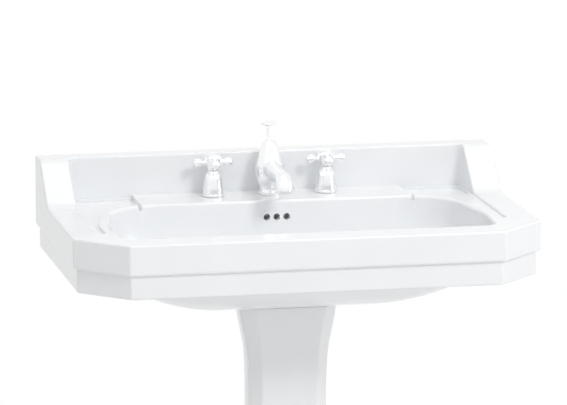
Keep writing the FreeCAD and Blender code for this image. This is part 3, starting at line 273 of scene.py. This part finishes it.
def polished_metal(name, colour, shade, roughness, grain):
    """Metal with slight clouding of its colour and gloss."""
    material, tree, shader = new_material(name)
    tone = colour_between(tree, noise(tree, grain, detail=3.0), shade, colour)
    tree.links.new(tone, shader.inputs["Base Color"])
    shader.inputs["Metallic"].default_value = 1.0
    rough = value_between(tree, noise(tree, grain * 4.0, detail=4.0), low=roughness * 0.7, high=roughness * 1.4)
    tree.links.new(rough, shader.inputs["Roughness"])
    bump(tree, shader, noise(tree, grain * 6.0, detail=2.0), strength=0.02, distance=0.0005)
    return material


def turned_metal(pitch, **finish):
    """Metal straight from the lathe, with fine level rings."""
    material = polished_metal(**finish)
    tree = material.node_tree
    place = tree.nodes.new("ShaderNodeTexCoord")
    rings = tree.nodes.new("ShaderNodeTexWave")
    rings.bands_direction = "Z"
    rings.inputs["Scale"].default_value = math.tau / (WAVE_RINGS * pitch)
    rings.inputs["Distortion"].default_value = 0.4
    tree.links.new(place.outputs["Object"], rings.inputs["Vector"])
    bump(tree, tree.nodes["Principled BSDF"], rings.outputs["Fac"], strength=0.35, distance=0.0004)
    return material


def moulded(name, colour, shade, roughness, grain):
    """Rubber, fibre or plastic with a fine mould texture."""
    material, tree, shader = new_material(name)
    tone = colour_between(tree, noise(tree, grain, detail=4.0), shade, colour)
    tree.links.new(tone, shader.inputs["Base Color"])
    rough = value_between(tree, noise(tree, grain * 2.0, detail=3.0), low=roughness * 0.85, high=roughness * 1.15)
    tree.links.new(rough, shader.inputs["Roughness"])
    bump(tree, shader, noise(tree, grain * 5.0, detail=3.0), strength=0.08, distance=0.0006)
    return material


def dress(slot, material):
    """Gives every CAD node of a record slot its material."""
    for entry in frame["record"]["subparts"]:
        if entry["material_slot"] == slot:
            mesh = frame["nodes"][entry["node"]].data
            mesh.materials.clear()
            mesh.materials.append(material)


class WASHBASIN_OT_glaze(bpy.types.Operator):
    """Glazes the basin, the pedestal and the index buttons"""

    bl_idname = "washbasin.glaze"
    bl_label = "Glaze"

    def execute(self, context):
        glaze = glazed_ceramic(context.scene.washbasin_finishes)
        dress("glazed_ceramic", glaze)
        dress("index_ceramic", glaze)
        return {"FINISHED"}


class WASHBASIN_OT_plating(bpy.types.Operator):
    """Plates the taps, the spout and the waste"""

    bl_idname = "washbasin.plating"
    bl_label = "Plating"

    def execute(self, context):
        finishes = context.scene.washbasin_finishes
        dress("chrome", polished_metal("chrome_plate", finishes.chrome_colour, finishes.chrome_shade,
                                       finishes.chrome_roughness, CHROME_GRAIN))
        return {"FINISHED"}


class WASHBASIN_OT_plain_metal(bpy.types.Operator):
    """Finishes the brass, copper and steel under the deck"""

    bl_idname = "washbasin.plain_metal"
    bl_label = "Plain metal"

    def execute(self, context):
        dress("brass", turned_metal(context.scene.washbasin_finishes.thread_pitch, **BRASS))
        for slot, finish in PIPES_AND_SCREWS.items():
            dress(slot, polished_metal(**finish))
        return {"FINISHED"}


class WASHBASIN_OT_seals_and_trap(bpy.types.Operator):
    """Finishes the rubber and fibre seals and the plastic trap"""

    bl_idname = "washbasin.seals_and_trap"
    bl_label = "Seals and trap"

    def execute(self, context):
        for slot, finish in SEALS_AND_TRAP.items():
            dress(slot, moulded(**finish))
        return {"FINISHED"}


def link(obj):
    """Puts an object in the scene and returns it."""
    bpy.context.scene.collection.objects.link(obj)
    return obj


def aimed(place, target):
    """Turn that points a light's own -Z from its place at a target."""
    return (Vector(target) - Vector(place)).to_track_quat("-Z", "Y").to_euler()


def softbox(name, place, size, power):
    """Rectangular light that faces the basin."""
    lamp = bpy.data.lights.new(name, "AREA")
    lamp.shape = "RECTANGLE"
    lamp.size, lamp.size_y = size
    lamp.energy = power
    holder = link(bpy.data.objects.new(name, lamp))
    holder.location = place
    holder.rotation_euler = aimed(place, LIT_POINT)


def seen_directly(tree):
    """Factor that is 1 for what the camera, a reflection or a clear material sees, and 0 for bounced light."""
    path = tree.nodes.new("ShaderNodeLightPath")
    factor = path.outputs["Is Camera Ray"]
    for name in ("Is Glossy Ray", "Is Transmission Ray"):
        either = tree.nodes.new("ShaderNodeMath")
        either.operation = "MAXIMUM"
        tree.links.new(factor, either.inputs[0])
        tree.links.new(path.outputs[name], either.inputs[1])
        factor = either.outputs["Value"]
    return factor


def pale_floor():
    """Wide white floor that keeps the shadow round the foot and fades to plain white further off."""
    shape = bmesh.new()
    bmesh.ops.create_grid(shape, x_segments=1, y_segments=1, size=FLOOR_HALF_WIDTH)
    mesh = bpy.data.meshes.new("pale_floor")
    shape.to_mesh(mesh)
    shape.free()
    floor = link(bpy.data.objects.new("pale_floor", mesh))
    material, tree, paint = new_material("floor_paint")
    tone = colour_between(tree, noise(tree, FLOOR_GRAIN, detail=2.0), *FLOOR_TONES)
    tree.links.new(tone, paint.inputs["Base Color"])
    paint.inputs["Roughness"].default_value = FLOOR_ROUGHNESS
    place = tree.nodes.new("ShaderNodeTexCoord")
    span = tree.nodes.new("ShaderNodeVectorMath")
    span.operation = "LENGTH"
    tree.links.new(place.outputs["Object"], span.inputs[0])
    far = tree.nodes.new("ShaderNodeMapRange")
    far.inputs["From Min"].default_value = SHADOW_FADE_START
    far.inputs["From Max"].default_value = SHADOW_FADE_END
    tree.links.new(span.outputs["Value"], far.inputs["Value"])
    glow = tree.nodes.new("ShaderNodeEmission")
    half = tree.nodes.new("ShaderNodeEmission")
    half.inputs["Strength"].default_value = SHADOW_LIFT
    shadowed = tree.nodes.new("ShaderNodeBsdfDiffuse")
    shadowed.inputs["Color"].default_value = SHADOW_GREY
    near = tree.nodes.new("ShaderNodeAddShader")
    tree.links.new(half.outputs["Emission"], near.inputs[0])
    tree.links.new(shadowed.outputs["BSDF"], near.inputs[1])
    seen = tree.nodes.new("ShaderNodeMixShader")
    tree.links.new(far.outputs["Result"], seen.inputs["Fac"])
    tree.links.new(near.outputs["Shader"], seen.inputs[1])
    tree.links.new(glow.outputs["Emission"], seen.inputs[2])
    surface = tree.nodes.new("ShaderNodeMixShader")
    tree.links.new(seen_directly(tree), surface.inputs["Fac"])
    tree.links.new(paint.outputs["BSDF"], surface.inputs[1])
    tree.links.new(seen.outputs["Shader"], surface.inputs[2])
    tree.links.new(surface.outputs["Shader"], tree.nodes["Material Output"].inputs["Surface"])
    mesh.materials.append(material)


def white_room(strength):
    """World that lights evenly, and shows white to the camera and to reflections."""
    world = bpy.data.worlds.new("white_room")
    world.use_nodes = True
    tree = world.node_tree
    light = tree.nodes["Background"]
    light.inputs["Color"].default_value = WHITE
    light.inputs["Strength"].default_value = strength
    seen = tree.nodes.new("ShaderNodeBackground")
    seen.inputs["Color"].default_value = WHITE
    seen.inputs["Strength"].default_value = 1.0
    mix = tree.nodes.new("ShaderNodeMixShader")
    tree.links.new(seen_directly(tree), mix.inputs["Fac"])
    tree.links.new(light.outputs["Background"], mix.inputs[1])
    tree.links.new(seen.outputs["Background"], mix.inputs[2])
    tree.links.new(mix.outputs["Shader"], tree.nodes["World Output"].inputs["Surface"])
    bpy.context.scene.world = world


def photo_camera(studio):
    """Camera that stands level from side to side, at the place and angle of the view."""
    lens = bpy.data.cameras.new("photo_camera")
    lens.sensor_fit = "HORIZONTAL"
    lens.sensor_width = SENSOR_WIDTH
    lens.lens = studio.camera_lens
    lens.clip_end = FURTHEST_SEEN
    camera = link(bpy.data.objects.new("photo_camera", lens))
    camera.location = studio.camera_place
    camera.rotation_euler = (math.radians(90) - studio.camera_pitch, 0.0, -studio.camera_yaw)
    return camera


class WASHBASIN_OT_studio(bpy.types.Operator):
    """Sets the floor, the lights and the camera"""

    bl_idname = "washbasin.studio"
    bl_label = "Studio"

    def execute(self, context):
        studio = context.scene.washbasin_studio
        pale_floor()
        white_room(studio.world_strength)
        for name, (place, size, power) in LIGHTS.items():
            softbox(name, place, size, getattr(studio, power))
        context.scene.camera = photo_camera(studio)
        context.scene.view_settings.view_transform = "Standard"
        return {"FINISHED"}


class WASHBASIN_PT_sidebar(bpy.types.Panel):
    """Lists the steps that dress the washbasin"""

    bl_label = "Washbasin"
    bl_idname = "WASHBASIN_PT_sidebar"
    bl_space_type = "VIEW_3D"
    bl_region_type = "UI"
    bl_category = "Washbasin"

    def draw(self, context):
        for operator in OPERATORS:
            self.layout.operator(operator.bl_idname)
        for group in (context.scene.washbasin_finishes, context.scene.washbasin_studio):
            for name in group.__annotations__:
                self.layout.prop(group, name)


OPERATORS = (WASHBASIN_OT_glaze, WASHBASIN_OT_plating, WASHBASIN_OT_plain_metal, WASHBASIN_OT_seals_and_trap,
             WASHBASIN_OT_studio)
CLASSES = (WashbasinFinishes, WashbasinStudio, *OPERATORS, WASHBASIN_PT_sidebar)


def register():
    for entry in CLASSES:
        bpy.utils.register_class(entry)
    bpy.types.Scene.washbasin_finishes = bpy.props.PointerProperty(type=WashbasinFinishes)
    bpy.types.Scene.washbasin_studio = bpy.props.PointerProperty(type=WashbasinStudio)


def unregister():
    del bpy.types.Scene.washbasin_studio
    del bpy.types.Scene.washbasin_finishes
    for entry in reversed(CLASSES):
        bpy.utils.unregister_class(entry)


def main():
    register()
    bpy.ops.washbasin.glaze()
    bpy.ops.washbasin.plating()
    bpy.ops.washbasin.plain_metal()
    bpy.ops.washbasin.seals_and_trap()
    bpy.ops.washbasin.studio()


if __name__ == "__main__":
    main()
